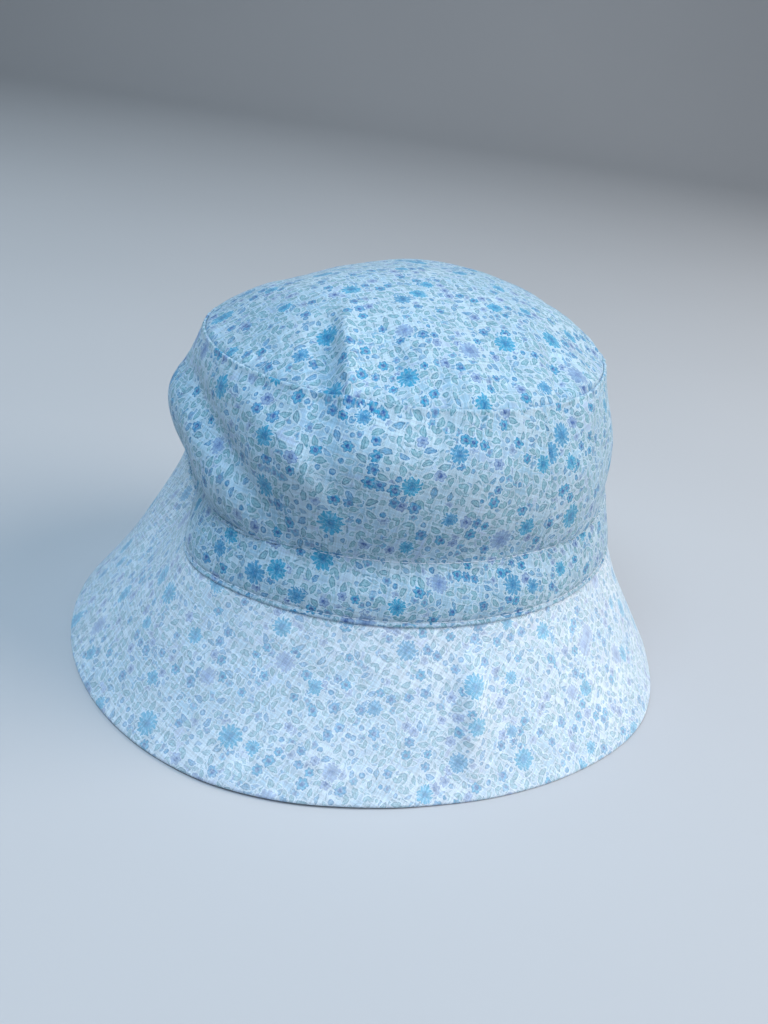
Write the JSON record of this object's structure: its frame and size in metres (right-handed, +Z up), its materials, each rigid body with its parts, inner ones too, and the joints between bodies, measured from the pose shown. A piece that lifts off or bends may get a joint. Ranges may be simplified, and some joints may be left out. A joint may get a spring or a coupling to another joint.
{
  "type": "bucket hat",
  "caption": "Child's soft bucket hat in pale blue flowered cotton, with an oval tip, leaning sides, a sloping stiffened brim, a lining and a sweatband.",
  "frame": {"origin": "on the ground plane, under the middle of the hat", "axes": "+Z up through the tip, -Y the way the wearer faces, the longest way; +X the wearer's left"},
  "size_m": [0.212, 0.226, 0.1351],
  "materials": {
    "printed_cotton": "plain-weave cotton, small flower and leaf print in blue, teal and lilac on a pale ground",
    "plain_cotton": "plain-weave lining cotton, unprinted",
    "stiffener": "woven fusible interfacing, matt",
    "sweatband": "folded cotton twill strip",
    "label_ribbon": "blank woven satin ribbon",
    "thread": "twisted polyester sewing thread"
  },
  "bodies": {
    "root": {"outer_tip": "printed_cotton", "outer_side_front": "printed_cotton", "outer_side_back": "printed_cotton", "brim_top_front": "printed_cotton", "brim_top_back": "printed_cotton", "brim_under_front": "printed_cotton", "brim_under_back": "printed_cotton", "brim_stiffener_front": "stiffener", "brim_stiffener_back": "stiffener", "lining_tip": "plain_cotton", "lining_side_front": "plain_cotton", "lining_side_back": "plain_cotton", "sweatband": "sweatband", "care_label": "label_ribbon", "tip_seam_thread": "thread", "side_seam_thread": "thread", "lining_seam_thread": "thread", "sweatband_topstitch": "thread", "brim_seam_topstitch": "thread", "brim_side_seam_thread": "thread", "brim_edge_thread": "thread", "label_stitches": "thread"}
  },
  "joints": []
}
